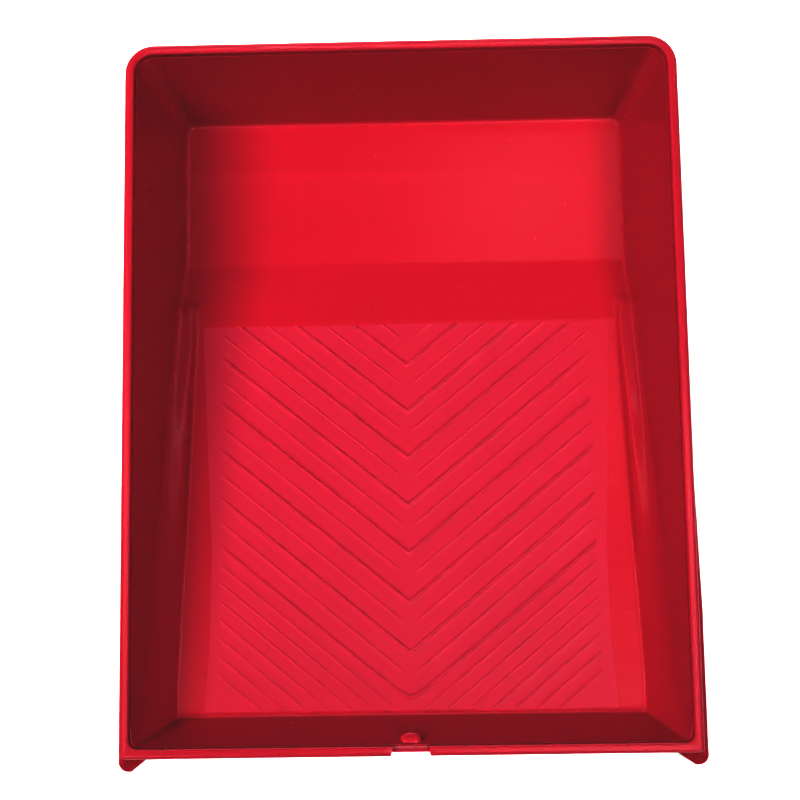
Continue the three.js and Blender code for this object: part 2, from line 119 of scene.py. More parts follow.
# Radii where two faces meet, and by how many degrees the faces turn there.
WALL_FILLET = 3.2  # at the foot of the walls
SHOULDER_FILLET = 4.5  # between a shoulder and the wall beside it
FOOT_TURN = 78
STEP_FILLET = 2.5  # at the foot of a shoulder's upright face
BRIM_RADIUS = 3  # at that face's upper edge
STEP_TURN = 70
END_RADIUS = 7  # where a shoulder ends towards the well
END_TURN = 50
KNEE_RADIUS = 12  # between the well floor and the slopes
KNEE_TURN = 14.3
CREST_RADIUS = 25  # between the entry slope and the ramp
CREST_TURN = 7.4
FRONT_CORNER_FILLET = 40  # at both edges of the facet in each front corner
FRONT_CORNER_TURN = 20

WELL_BLEND = 4  # the foot's radius changes this far to both sides of the shoulder's start
FRONT_BLEND_START = 20  # and again this far from the front wall,
FRONT_BLEND_LENGTH = 10  # over this length
FACET_INSET = 0.3  # the facet's top is this far outside the middle of the wall's corner arc

FLOOR_TOP = WALL
WALL_TOP_X = RIM_WIDTH / 2 - RIM_BAND
WALL_TOP_Y = RIM_LENGTH / 2 - RIM_BAND
ENTRY_SLOPE = RAMP_START_RISE / (WELL_END - RAMP_START)
RAMP_START_Z = FLOOR_TOP + RAMP_START_RISE

# ---------------------------------------------------------------- faces of the tray


def side_wall(z):
    return WALL_TOP_X - DRAFT * (WALL_TOP - z)


def far_wall(z):
    return WALL_TOP_Y - DRAFT * (WALL_TOP - z)


def front_wall(z):
    return -WALL_TOP_Y + FRONT_DRAFT * (WALL_TOP - z)


def entry_z(y):
    return FLOOR_TOP + ENTRY_SLOPE * (WELL_END - y)


def ramp_z(y):
    return RAMP_START_Z + RAMP_SLOPE * (RAMP_START - y)


def floor_z(y):
    return np.maximum(FLOOR_TOP, np.minimum(entry_z(y), ramp_z(y)))


def ramp_half(y):
    return RAMP_START_HALF + RAMP_FLARE * (RAMP_START - y)


def crease_z(y):
    return FLOOR_TOP + SHOULDER_START_RISE + SHOULDER_SLOPE * (SHOULDER_START - y)


def smooth_step(t):
    t = np.clip(t, 0, 1)
    return t * t * (3 - 2 * t)


def step_height(y):
    start, end = STEP_FADE
    fade = 1 - smooth_step((start - y) / (start - end))
    available = crease_z(y) - floor_z(y) - STEP_CLEARANCE
    return np.clip(np.minimum(STEP_HEIGHT, available) * fade, STEP_LEAST, None)


def step_lean(y):
    ease = 1 - smooth_step((SHOULDER_START - y) / STEP_EASE)
    return STEP_LEAN + (STEP_START_LEAN - STEP_LEAN) * ease


def level(slope):
    """Turns a height above a face into the distance from it."""
    return 1 / np.hypot(1, slope)


def width(radius, turn):
    """Blending width that gives about this radius between faces that turn by turn degrees."""
    return radius * (1 - math.cos(math.radians(turn)))


def inner(a, b, k):
    """The nearer of two faces, with a fillet of blending width k in the corner between them."""
    h = np.clip(k - np.abs(a - b), 0, None) / k
    return np.minimum(a, b) - h * h * k / 4


def outer(a, b, k):
    """The same for a corner that stands out."""
    return -inner(-a, -b, k)


def upright_corner(a, b, radius):
    """Two walls at right angles with a true arc between them."""
    away = np.hypot(np.clip(radius - a, 0, None), np.clip(radius - b, 0, None))
    return np.maximum(radius, np.minimum(a, b)) - away


def front_corner_plane():
    """Normal and offset of the facet between side wall, front wall and shoulder."""
    start_z = crease_z(FRONT_CORNER_START)
    ramp_end = front_wall(ramp_z(0)) / (1 - FRONT_DRAFT * RAMP_SLOPE)
    back = Vector((side_wall(start_z), FRONT_CORNER_START, start_z))
    foot = Vector((FRONT_CORNER_HALF, ramp_end, ramp_z(ramp_end)))
    inset = RIM_FRONT_RADIUS * (1 - math.sqrt(0.5)) - FACET_INSET
    top = Vector((WALL_TOP_X - inset, -WALL_TOP_Y + inset, WALL_TOP))
    normal = (foot - back).cross(top - back).normalized()
    return normal, normal.dot(back)


CORNER_NORMAL, CORNER_OFFSET = front_corner_plane()


def space(x, y, z):
    """Distance into the open space of the tray: above 0 in the air, below 0 in the plastic."""
    x = np.abs(x)
    ramp = (z - ramp_z(y)) * level(RAMP_SLOPE)
    entry = (z - entry_z(y)) * level(ENTRY_SLOPE)
    slopes = outer(entry, ramp, width(CREST_RADIUS, CREST_TURN))
    floor = inner(z - FLOOR_TOP, slopes, width(KNEE_RADIUS, KNEE_TURN))

    step = step_height(y)
    lean = step_lean(y)
    brim_x = ramp_half(y) + lean * step
    brim_z = floor_z(y) + step
    crease_x = side_wall(crease_z(y))
    tilt = (crease_z(y) - brim_z) / (crease_x - brim_x)
    shelf = (z - brim_z - tilt * (x - brim_x)) / np.hypot(1, tilt)
    face = (ramp_half(y) + lean * (z - floor_z(y)) - x) * level(lean)
    end = (y - SHOULDER_START + SHOULDER_END_LEAN * (z - entry_z(y))) * level(SHOULDER_END_LEAN)
    brim = outer(shelf, face, width(BRIM_RADIUS, STEP_TURN))
    shoulder = outer(brim, end, width(END_RADIUS, END_TURN))
    ground = inner(floor, shoulder, width(STEP_FILLET, STEP_TURN))

    corner_radius = WELL_CORNER_RADIUS + (RIM_FAR_RADIUS - WELL_CORNER_RADIUS) * z / WALL_TOP
    corner_radius = np.clip(corner_radius, LEAST_CORNER_RADIUS, None)
    walls = upright_corner(side_wall(z) - x, far_wall(z) - y, corner_radius)
    walls = walls * level(DRAFT)
    front = (y - front_wall(z)) * level(FRONT_DRAFT)
    walls = upright_corner(walls, front, RIM_FRONT_RADIUS)
    facet = CORNER_NORMAL.x * x + CORNER_NORMAL.y * y + CORNER_NORMAL.z * z - CORNER_OFFSET
    walls = inner(walls, facet, width(FRONT_CORNER_FILLET, FRONT_CORNER_TURN))

    change = width(WALL_FILLET - SHOULDER_FILLET, FOOT_TURN)
    beside_well = smooth_step((y - SHOULDER_START + WELL_BLEND) / (2 * WELL_BLEND))
    at_front = smooth_step((-WALL_TOP_Y + FRONT_BLEND_START - y) / FRONT_BLEND_LENGTH)
    k = width(SHOULDER_FILLET, FOOT_TURN) + beside_well * change
    k = k + at_front * change
    return inner(ground, walls, k)


SEARCH_FLOOR = -10.0  # a height below the whole surface
SEARCH_STEPS = 36


def surface_z(x, y):
    """Height of the tray's inner surface over (x, y), by halving the interval that holds it."""
    below = np.full(np.shape(x), SEARCH_FLOOR)
    above = np.full(np.shape(x), 2 * HEIGHT)
    for _ in range(SEARCH_STEPS):
        middle = (below + above) / 2
        in_air = space(x, y, middle) > 0
        above = np.where(in_air, middle, above)
        below = np.where(in_air, below, middle)
    return above


# ---------------------------------------------------------------- mesh building

SAME_PLACE = 1e-7  # points nearer to a cutting plane than this, in metres, lie on it
EDGE_SEGMENTS = 3  # of a rounded edge
EDGE_ANGLE = 50  # degrees; edges that turn by more are rounded


def put(name, points, faces):
    """A smooth-shaded mesh object from points in tray millimetres."""
    mesh = bpy.data.meshes.new(name)
    placed = (np.reshape(points, (-1, 3)) + (0, MID_Y, 0)) * MM
    mesh.from_pydata(placed.tolist(), [], faces)
    mesh.validate()
    mesh.update()
    mesh.polygons.foreach_set("use_smooth", [True] * len(mesh.polygons))
    thing = bpy.data.objects.new(name, mesh)
    bpy.context.scene.collection.objects.link(thing)
    return thing


def grid_faces(rows, columns, closed=False):
    """Quads of a grid of points stored row by row; closed joins the last column to the first."""
    last = columns if closed else columns - 1
    faces = []
    for i in range(rows - 1):
        for j in range(last):
            k = (j + 1) % columns
            a, b = i * columns + j, i * columns + k
            faces.append((a, b, b + columns, a + columns))
    return faces


def edit(thing, change):
    """Runs change(bm) on a mesh object."""
    bm = bmesh.new()
    bm.from_mesh(thing.data)
    change(bm)
    bm.to_mesh(thing.data)
    bm.free()
    thing.data.update()


def cut(bm, point, normal):
    """Keeps what lies behind the plane."""
    geometry = bm.verts[:] + bm.edges[:] + bm.faces[:]
    bmesh.ops.bisect_plane(
        bm,
        geom=geometry,
        dist=SAME_PLACE,
        plane_co=(Vector(point) + Vector((0, MID_Y, 0))) * MM,
        plane_no=normal,
        clear_outer=True,
    )


def face_outward(bm):
    bmesh.ops.recalc_face_normals(bm, faces=bm.faces[:])


def point_normals(bm, towards):
    """Turns an open sheet's normals to the given side."""
    face_outward(bm)
    total = sum((f.normal * f.calc_area() for f in bm.faces), Vector())
    if total.dot(towards) < 0:
        bmesh.ops.reverse_faces(bm, faces=bm.faces[:])


def thicken(thing, thickness, rounding=0.0):
    """Gives a sheet its thickness on the side away from its normals, and softens the edges."""
    solid = thing.modifiers.new("thickness", "SOLIDIFY")
    solid.thickness = thickness * MM
    solid.offset = -1
    solid.use_rim = True
    if rounding:
        round_edges(thing, rounding)


def round_edges(thing, rounding):
    bevel = thing.modifiers.new("rounded edges", "BEVEL")
    bevel.width = rounding * MM
    bevel.segments = EDGE_SEGMENTS
    bevel.limit_method = "ANGLE"
    bevel.angle_limit = math.radians(EDGE_ANGLE)


def stations(*stretches):
    """Sorted places along a line: each stretch is (start, end, spacing)."""
    places = [np.linspace(a, b, max(2, round(abs(b - a) / gap) + 1)) for a, b, gap in stretches]
    return np.unique(np.round(np.concatenate(places), 5))


# ---------------------------------------------------------------- the shell

COARSE = 3.0  # spacing of the sheet's points on flat ground
FINE = 0.42  # spacing across the walls and the shoulders
SHEET_MARGIN = 1.5  # the sheet reaches this far past the top of the walls, and is cut off there
BEND_REACH = 4  # the denser points reach this far past a bend of the floor,
WALL_REACH = 6  # this far past a wall's foot or corner,
SHOULDER_REACH = (7, 3)  # and this far before and behind the shoulder's start


def shell_rows():
    """Places along the tray, dense wherever the surface bends."""
    edge = WALL_TOP_Y + SHEET_MARGIN
    front_foot = front_wall(ramp_z(-WALL_TOP_Y)) + BEND_REACH
    corner_end = FRONT_CORNER_START + WALL_REACH
    before, behind = SHOULDER_REACH
    far_foot = far_wall(0) - WALL_REACH
    return stations(
        (-edge, front_foot, FINE),
        (front_foot, corner_end, 2 * FINE),
        (corner_end, RAMP_START - BEND_REACH, COARSE),
        (RAMP_START - BEND_REACH, RAMP_START + BEND_REACH, 2 * FINE),
        (RAMP_START + BEND_REACH, SHOULDER_START - before, COARSE),
        (SHOULDER_START - before, SHOULDER_START + behind, FINE),
        (SHOULDER_START + behind, WELL_END - BEND_REACH, COARSE),
        (WELL_END - BEND_REACH, WELL_END + BEND_REACH, 2 * FINE),
        (WELL_END + BEND_REACH, far_foot, COARSE),
        (far_foot, edge, FINE),
    )


def shell_columns():
    """Places across the right half: 0 to 1 over the ramp, 1 to 2 from its edge to the wall."""
    edge = WALL_TOP_X + SHEET_MARGIN - RAMP_START_HALF
    ramp = stations(
        (0, RAMP_START_HALF - BEND_REACH, COARSE),
        (RAMP_START_HALF - BEND_REACH, RAMP_START_HALF, FINE),
    )
    beyond = stations((0, edge, FINE))
    return np.unique(np.concatenate([ramp / RAMP_START_HALF, 1 + beyond / edge]))


def make_shell():
    y = shell_rows()
    s = shell_columns()
    s = np.concatenate([-s[:0:-1], s])
    y_grid, s_grid = np.meshgrid(y, s, indexing="ij")
    side = np.sign(s_grid)
    s_grid = np.abs(s_grid)
    half = ramp_half(y_grid)
    edge = WALL_TOP_X + SHEET_MARGIN
    x_grid = np.where(s_grid <= 1, s_grid * half, half + (s_grid - 1) * (edge - half)) * side
    z_grid = surface_z(x_grid, y_grid)
    points = np.stack([x_grid, y_grid, z_grid], axis=-1)
    shell = put("tray_shell", points, grid_faces(len(y), len(s)))
    edit(shell, lambda bm: cut(bm, (0, 0, WALL_TOP), (0, 0, 1)))
    thicken(shell, WALL)
    return shell


# ---------------------------------------------------------------- the ribbed panel

RIB_SLOPE = 0.816  # run of an arm along y per run across
RIB_REACH = 100.5  # how far the arms reach from the centre line
CHEVRON_FIRST = 20.2
CHEVRON_LAST = -160
CHEVRON_COUNT = 8
MAJOR_RIB = (2.4, 0.58)  # width and height
MINOR_RIB = (1.7, 0.2)
CORNER_RIB = (1.6, 0.22)
CORNER_RIB_COUNT = 7
CORNER_RIB_PITCH = 9.5
MINOR_RIB_GAP = 3.5  # a minor rib stops this far from the centre line
TIP_ROUNDING = 0.5
LAST_TIP_ROUNDING = 3.8  # the chevron nearest the front has a round tip
LAST_TIP_REACH = 8  # that rounding is gone this far from its tip
RIB_FADE = 2.5  # length over which a rib's end comes down to the panel
RIB_POWER = 1.5  # 1 gives a rib the section of a parabola; more eases its foot into the panel
PANEL_LIFT = 0.12  # how far the textured panel stands above the smooth gutters beside it
PANEL_SKIN = 0.25
PANEL_TOP_MARGIN = 2.0  # the panel ends this far before the ramp's start
PANEL_FRONT = -163.5
RIB_ROWS = 11  # rows of points across a rib
ROW_MARGIN = (4, 2)  # rows start and end this far outside the panel, and are cut off
PANEL_EDGE = ((-163, 107.4), (-128, 105.2), (-79, 105.2), (43.5, 112.5))  # y, half width
PANEL_WIDEST = 112

# Places along a row are shares of the half width: dense beyond BORDER and round the tips.
BORDER = 0.94
BORDER_SPACING = 0.005
INNER_SPACING = 0.016
TIP_PLACES = (0.004, 0.01, 0.02)
ROW_FIT_STEPS = 6  # rounds that fit a row's ends to the panel's edge


def rib_lines():
    """(tip, inner end, (width, height)) of every rib, where tip is its place on the centre line."""
    pitch = (CHEVRON_FIRST - CHEVRON_LAST) / (CHEVRON_COUNT - 1)
    for i in range(CHEVRON_COUNT):
        yield CHEVRON_FIRST - i * pitch, 0.0, MAJOR_RIB
        yield CHEVRON_FIRST + (0.5 - i) * pitch, MINOR_RIB_GAP, MINOR_RIB
    for i in range(CORNER_RIB_COUNT):
        yield CHEVRON_LAST - (i + 1) * CORNER_RIB_PITCH, 0.0, CORNER_RIB


def panel_half(y):
    places, halves = zip(*PANEL_EDGE)
    return np.interp(y, places, halves)


def tip_rounding(v):
    near_last = 1 - smooth_step(np.abs(v - CHEVRON_LAST) / LAST_TIP_REACH)
    return TIP_ROUNDING + (LAST_TIP_ROUNDING - TIP_ROUNDING) * near_last


def make_panel():
    """A sheet whose rows run along the chevrons, so that every rib is a clean moulded ridge."""
    ribs = list(rib_lines())
    across = math.cos(math.atan(RIB_SLOPE))  # from a distance along y to one across a rib
    first_row = PANEL_FRONT - RIB_SLOPE * PANEL_WIDEST - ROW_MARGIN[0]
    rows = [stations((first_row, RAMP_START + ROW_MARGIN[1], COARSE))]
    for tip, _, (rib_width, _) in ribs:
        reach = rib_width / 2 / across
        rows.append(tip + reach * np.linspace(-1, 1, RIB_ROWS))
    v = np.unique(np.round(np.concatenate(rows), 4))
    s = stations(
        (-1, -BORDER, BORDER_SPACING),
        (-BORDER, BORDER, INNER_SPACING),
        (BORDER, 1, BORDER_SPACING),
    )
    s = np.unique(np.concatenate([s, np.negative(TIP_PLACES), TIP_PLACES]))
    v_grid, s_grid = np.meshgrid(v, s, indexing="ij")
    rounding = tip_rounding(v_grid)
    x_grid = s_grid * panel_half(v_grid)
    for _ in range(ROW_FIT_STEPS):
        y_grid = v_grid + RIB_SLOPE * np.hypot(x_grid, rounding)
        x_grid = s_grid * panel_half(y_grid)
    y_grid = v_grid + RIB_SLOPE * np.hypot(x_grid, rounding)

    relief = np.zeros_like(x_grid)
    reach = np.abs(x_grid)
    for tip, inner_end, (rib_width, rib_height) in ribs:
        off = np.clip(np.abs(v_grid - tip) * across / (rib_width / 2), 0, 1)
        ridge = rib_height * (1 - off * off) ** RIB_POWER
        fade = smooth_step((RIB_REACH - reach) / RIB_FADE)
        if inner_end:
            fade = fade * smooth_step((reach - inner_end) / RIB_FADE)
        relief = np.maximum(relief, ridge * fade)
    z_grid = floor_z(y_grid) + PANEL_LIFT + relief
    points = np.stack([x_grid, y_grid, z_grid], axis=-1)
    panel = put("ribbed_panel", points, grid_faces(len(v), len(s)))

    def trim(bm):
        cut(bm, (0, RAMP_START - PANEL_TOP_MARGIN, 0), (0, 1, 0))
        cut(bm, (0, PANEL_FRONT, 0), (0, -1, 0))
        for e in bm.edges:
            e.smooth = not e.is_boundary

    edit(panel, trim)
    thicken(panel, PANEL_SKIN)
    return panel


# ---------------------------------------------------------------- the rim

ROLL_IN = 1.3  # radii of the rim's inner and outer edges
ROLL_OUT = 2.2
RIM_FALL = 0.1  # the rim's top falls outward by this much per run
ROLL_WALL = 1.4  # thickness of the rolled edge
ROLL_SEAT = 1.0  # how far the rolled edge reaches down into the wall that carries it
NOTCH_SLANT = 1.6  # the rim's outer edge ends this much farther from the notch than its inner one
RIM_ROUNDING = 0.25
ROLL_STEPS = 7
CORNER_STEPS = 14
SIDE_STEPS = 40
END_STEPS = 24


def arc(cx, cy, radius, start, end, steps=CORNER_STEPS):
    """Points of an arc in a plane, from start to end in degrees."""
    angles = np.radians(np.linspace(start, end, steps + 1))
    return [(cx + radius * math.cos(a), cy + radius * math.sin(a)) for a in angles]


def rim_section():
    """Section of the rolled edge: (share of the band's width, height), round the outline."""
    fall = math.degrees(math.atan(RIM_FALL))
    roll_in = arc(ROLL_IN, HEIGHT - ROLL_IN, ROLL_IN, 180, 90 - fall, ROLL_STEPS)
    outer_top = HEIGHT - RIM_FALL * (RIM_BAND - ROLL_IN - ROLL_OUT)
    roll_out = arc(RIM_BAND - ROLL_OUT, outer_top - ROLL_OUT, ROLL_OUT, 90 - fall, 0, ROLL_STEPS)
    underside = outer_top - ROLL_WALL
    seat = WALL_TOP - ROLL_SEAT
    outline = [(0, seat), *roll_in, *roll_out, (RIM_BAND, WALL_TOP)]
    outline += [(RIM_BAND - ROLL_WALL, WALL_TOP), (RIM_BAND - ROLL_WALL, underside)]
    outline += [(ROLL_WALL, underside), (ROLL_WALL, seat)]
    return [(offset / RIM_BAND, z) for offset, z in outline]


def rim_path():
    """Pairs of inner and outer edge points of the right half, from the notch to the far middle."""
    front_x, front_y = WALL_TOP_X - RIM_FRONT_RADIUS, -WALL_TOP_Y + RIM_FRONT_RADIUS
    far_x, far_y = WALL_TOP_X - RIM_FAR_RADIUS, WALL_TOP_Y - RIM_FAR_RADIUS
    outer_front_x = RIM_WIDTH / 2 - RIM_OUTER_FRONT_RADIUS
    outer_front_y = -RIM_LENGTH / 2 + RIM_OUTER_FRONT_RADIUS
    pairs = []
    for x in np.linspace(NOTCH_HALF, front_x, END_STEPS)[:-1]:
        pairs.append(((x, -WALL_TOP_Y), (x, -RIM_LENGTH / 2)))
    inner_arc = arc(front_x, front_y, RIM_FRONT_RADIUS, -90, 0)
    outer_arc = arc(outer_front_x, outer_front_y, RIM_OUTER_FRONT_RADIUS, -90, 0)
    outer_arc[0] = (front_x, -RIM_LENGTH / 2)
    outer_arc[-1] = (RIM_WIDTH / 2, front_y)
    pairs += list(zip(inner_arc, outer_arc))
    for y in np.linspace(front_y, far_y, SIDE_STEPS)[1:-1]:
        pairs.append(((WALL_TOP_X, y), (RIM_WIDTH / 2, y)))
    inner_arc = arc(far_x, far_y, RIM_FAR_RADIUS, 0, 90)
    outer_arc = arc(far_x, far_y, RIM_FAR_RADIUS + RIM_BAND, 0, 90)
    pairs += list(zip(inner_arc, outer_arc))
    for x in np.linspace(far_x, 0, END_STEPS)[1:]:
        pairs.append(((x, WALL_TOP_Y), (x, RIM_LENGTH / 2)))
    return pairs


def make_rim():
    section = rim_section()
    right = rim_path()
    left = [((-ix, iy), (-ox, oy)) for (ix, iy), (ox, oy) in right[-2::-1]]
    path = right + left
    points = []
    for i, ((ix, iy), (ox, oy)) in enumerate(path):
        hand = {0: 1, len(path) - 1: -1}.get(i, 0)
        for share, z in section:
            slant = hand * NOTCH_SLANT * share
            points.append((ix + (ox - ix) * share + slant, iy + (oy - iy) * share, z))
    count = len(section)
    faces = grid_faces(len(path), count, closed=True)
    faces.append(tuple(range(count)))
    faces.append(tuple(range(len(points) - 1, len(points) - 1 - count, -1)))
    rim = put("rolled_rim", points, faces)
    edit(rim, face_outward)
    round_edges(rim, RIM_ROUNDING)
    return rim


# ---------------------------------------------------------------- pouring lip and nub

LIP_STEPS = 11
LIP_OVERLAP = 0.5  # how far the spout starts below the wall's top
LIP_MARGIN = 0.2  # it stays this far below and behind the CAD lip's upper outer edge
LIP_THICKNESS = 0.7
LIP_ROUNDING = 0.2
NUB_STEPS = 13
NUB_FULLNESS = 0.8  # below 1 the plan curve is fuller than an ellipse
NUB_SEAT = 0.8  # how far the nub reaches into the wall
NUB_SUBDIVISION = 2
NUB_LEVELS = (  # (share of the height, share of the half width, share of the reach)
    (0.0, 0.3, 0.05),
    (0.2, 0.65, 0.45),
    (0.45, 0.95, 0.8),
    (0.7, 1.0, 1.0),
    (0.88, 0.9, 0.8),
    (1.0, 0.5, 0.3),
)


def make_lip():
    """The front wall's edge in the notch, carried on outward as a thin spout."""
    rows = []
    for t in np.linspace(0, 1, LIP_STEPS):
        out = (LIP_REACH - LIP_MARGIN) * t
        z = WALL_TOP - LIP_OVERLAP + (LIP_TOP - LIP_MARGIN - WALL_TOP + LIP_OVERLAP) * t
        y = front_wall(z) * (1 - t) + (-WALL_TOP_Y - out) * t
        half = NOTCH_HALF + NOTCH_SLANT * out / RIM_BAND
        rows.append([(x, y, z) for x in np.linspace(half, -half, LIP_STEPS)])
    lip = put("pour_lip", rows, grid_faces(LIP_STEPS, LIP_STEPS))
    edit(lip, lambda bm: point_normals(bm, Vector((0, 1, 0.5))))
    thicken(lip, LIP_THICKNESS, LIP_ROUNDING)
    return lip


def make_nub():
    """Rounded wedge on the paint side of the front wall."""
    reach_most = high("front_nub")[1] - MID_Y - front_wall(NUB_TOP)
    rows = []
    for t, half_share, reach_share in NUB_LEVELS:
        z = NUB_FOOT + (NUB_TOP - NUB_FOOT) * t
        row = []
        for a in np.linspace(0, math.pi, NUB_STEPS):
            x = NUB_HALF * half_share * math.cos(a)
            y = front_wall(z) + reach_most * reach_share * math.sin(a) ** NUB_FULLNESS
            row.append((x, y, z))
        for a in np.linspace(math.pi, 0, NUB_STEPS):
            row.append((NUB_HALF * half_share * math.cos(a), front_wall(z) - NUB_SEAT, z))
        rows.append(row)
    count = len(rows[0])
    faces = grid_faces(len(rows), count, closed=True)
    total = len(rows) * count
    faces += [tuple(range(count)), tuple(range(total - 1, total - 1 - count, -1))]
    nub = put("wall_nub", rows, faces)
    edit(nub, face_outward)
    rounded = nub.modifiers.new("rounded", "SUBSURF")
    rounded.levels = rounded.render_levels = NUB_SUBDIVISION
    return nub


# ---------------------------------------------------------------- the legs

LEG_REAR_FOOT = -116  # where the plate's rear edge stands
LEG_FRONT_TOP = 129.5  # half widths of the gap between the legs in front, at the top and the foot
LEG_FRONT_FOOT = 152.5
LEG_CORNER_TOP = 2.5  # radii of the bend
LEG_CORNER_FOOT = 5
LEG_ROUNDING = 0.35
LEG_LEVELS = 16
LEG_SIDE_STEPS = 24
LEG_FRONT_STEPS = 8
LEG_FOOT_LIFT = 0.45  # the outer face ends this high, so that the plate's edge rests on the ground


def leg_curve(spread_out, radius, rear, front_half):
    """Plan curve of the right leg at one level: along the side, round the corner, to the front."""
    x = RIM_WIDTH / 2 + spread_out
    y = -RIM_LENGTH / 2 - spread_out
    side = [(x, y_side) for y_side in np.linspace(rear, y + radius, LEG_SIDE_STEPS)[:-1]]
    corner = arc(x - radius, y + radius, radius, 0, -90)
    across = np.linspace(x - radius, front_half, LEG_FRONT_STEPS)[1:]
    front = [(x_front, y) for x_front in across]
    return side + corner + front


def make_leg(name, hand):
    """A leg: one bent plate that flares outward from the rim to the ground."""
    top = np.array(leg_curve(0, LEG_CORNER_TOP, LEG_REAR_TOP, LEG_FRONT_TOP))
    foot = np.array(leg_curve(LEG_FLARE, LEG_CORNER_FOOT, LEG_REAR_FOOT, LEG_FRONT_FOOT))
    rows = []
    for t in np.linspace(0, 1, LEG_LEVELS):
        plan = top + (foot - top) * t
        z = LEG_TOP + (LEG_FOOT_LIFT - LEG_TOP) * t
        rows.append([(hand * x, y, z) for x, y in plan])
    leg = put(name, rows, grid_faces(len(rows), len(top)))
    edit(leg, lambda bm: point_normals(bm, Vector((hand, -1, 0))))
    thicken(leg, WALL, LEG_ROUNDING)
    return leg


# ---------------------------------------------------------------- materials

PLASTIC_IOR = 1.49
TONE_SCALE = 14.0  # the noise scales are per metre
POLISH_SCALE = 45.0
POLISH_SPAN = (-0.02, 0.03)  # how far the roughness strays from its mean
WAVE_SCALE = 22.0
WAVE_HEIGHT = 0.00025  # metres
MIX_FACTOR, MIX_A, MIX_B, MIX_RESULT = 0, 6, 7, 2  # sockets of a colour mix


def node(tree, kind, **inputs):
    """A shader node with its inputs set by name."""
    made = tree.nodes.new(kind)
    for name, value in inputs.items():
        made.inputs[name.replace("_", " ")].default_value = value
    return made


def moulded_plastic(name, colour, deep_colour, roughness, grain_size, grain_height, gloss):
    """Red polypropylene: a fine moulded grain, slow waves in the sheet and an uneven polish.

    grain_size and grain_height are in millimetres.
    """
    material = bpy.data.materials.new(name)
    material.use_nodes = True
    tree = material.node_tree
    link = tree.links.new
    tree.nodes.clear()
    out = node(tree, "ShaderNodeOutputMaterial")
    body = node(tree, "ShaderNodeBsdfPrincipled", IOR=PLASTIC_IOR)
    body.inputs["Specular IOR Level"].default_value = gloss
    link(body.outputs["BSDF"], out.inputs["Surface"])
    place = node(tree, "ShaderNodeTexCoord").outputs["Object"]

    tone = node(tree, "ShaderNodeTexNoise", Scale=TONE_SCALE, Detail=3.0, Roughness=0.5)
    link(place, tone.inputs["Vector"])
    mix = node(tree, "ShaderNodeMix")
    mix.data_type = "RGBA"
    mix.inputs[MIX_A].default_value = (*deep_colour, 1)
    mix.inputs[MIX_B].default_value = (*colour, 1)
    link(tone.outputs["Fac"], mix.inputs[MIX_FACTOR])
    link(mix.outputs[MIX_RESULT], body.inputs["Base Color"])

    polish = node(tree, "ShaderNodeTexNoise", Scale=POLISH_SCALE, Detail=4.0, Roughness=0.6)
    link(place, polish.inputs["Vector"])
    span = node(tree, "ShaderNodeMapRange")
    span.inputs["To Min"].default_value = roughness + POLISH_SPAN[0]
    span.inputs["To Max"].default_value = roughness + POLISH_SPAN[1]
    link(polish.outputs["Fac"], span.inputs["Value"])
    link(span.outputs["Result"], body.inputs["Roughness"])

    waves = node(tree, "ShaderNodeTexNoise", Scale=WAVE_SCALE, Detail=1.0)
    link(place, waves.inputs["Vector"])
    sag = node(tree, "ShaderNodeBump", Strength=1.0, Distance=WAVE_HEIGHT)
    link(waves.outputs["Fac"], sag.inputs["Height"])
    grain = node(tree, "ShaderNodeTexNoise", Scale=1 / MM / grain_size, Detail=2.0)
    link(place, grain.inputs["Vector"])
    bumps = node(tree, "ShaderNodeBump", Strength=1.0, Distance=grain_height * MM)
    link(grain.outputs["Fac"], bumps.inputs["Height"])
    link(sag.outputs["Normal"], bumps.inputs["Normal"])
    link(bumps.outputs["Normal"], body.inputs["Normal"])
    return material


def pale_floor():
    """A matt floor with a faint mottle. It glows a little, so that it renders as white."""
    material = bpy.data.materials.new("pale_floor")
    material.use_nodes = True
    tree = material.node_tree
    body = tree.nodes["Principled BSDF"]
    body.inputs["Roughness"].default_value = 0.9
    body.inputs["Specular IOR Level"].default_value = 0.1
    tone = node(tree, "ShaderNodeTexNoise", Scale=3.0, Detail=3.0)
    shade = node(tree, "ShaderNodeMapRange")
    shade.inputs["To Min"].default_value = 0.84
    shade.inputs["To Max"].default_value = 0.9
    tree.links.new(tone.outputs["Fac"], shade.inputs["Value"])
    tree.links.new(shade.outputs["Result"], body.inputs["Base Color"])
    body.inputs["Emission Color"].default_value = (1, 1, 1, 1)
    body.inputs["Emission Strength"].default_value = 0.35
    return material


SMOOTH = moulded_plastic(
    "red_plastic_smooth",
    colour=(0.4, 0.003, 0.034),
    deep_colour=(0.375, 0.0025, 0.031),
    roughness=0.26,
    grain_size=1.4,
    grain_height=0.012,
    gloss=0.4,
)
# The ribbed panel's colour is pinker than the smooth plastic's: painted sheen, standing in for the
# pale gloss that its rough ribbed face shows under the lights.
RIBBED = moulded_plastic(
    "red_plastic_ribbed",
    colour=(0.4, 0.0105, 0.053),
    deep_colour=(0.375, 0.0095, 0.049),
    roughness=0.42,
    grain_size=0.5,
    grain_height=0.05,
    gloss=0.45,
)
# The legs' plastic has no gloss, and its colour is painted lighter than the smooth plastic's:
# painted light on the legs' shaded outer faces.
MATT_PAINTED_LIGHTER = moulded_plastic(
    "red_plastic_matt_painted_lighter",
    colour=(0.45, 0.003, 0.035),
    deep_colour=(0.42, 0.0025, 0.031),
    roughness=0.6,
    grain_size=0.8,
    grain_height=0.03,
    gloss=0.0,
)

# ---------------------------------------------------------------- the pieces

SIDES = ("left", "right")


def finish_piece(piece, material, slot, *nodes):
    piece.data.materials.append(material)
    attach(piece, "root")
    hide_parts(*nodes)


def both(*stems):
    return [f"{stem}_{side}" for stem in stems for side in SIDES]


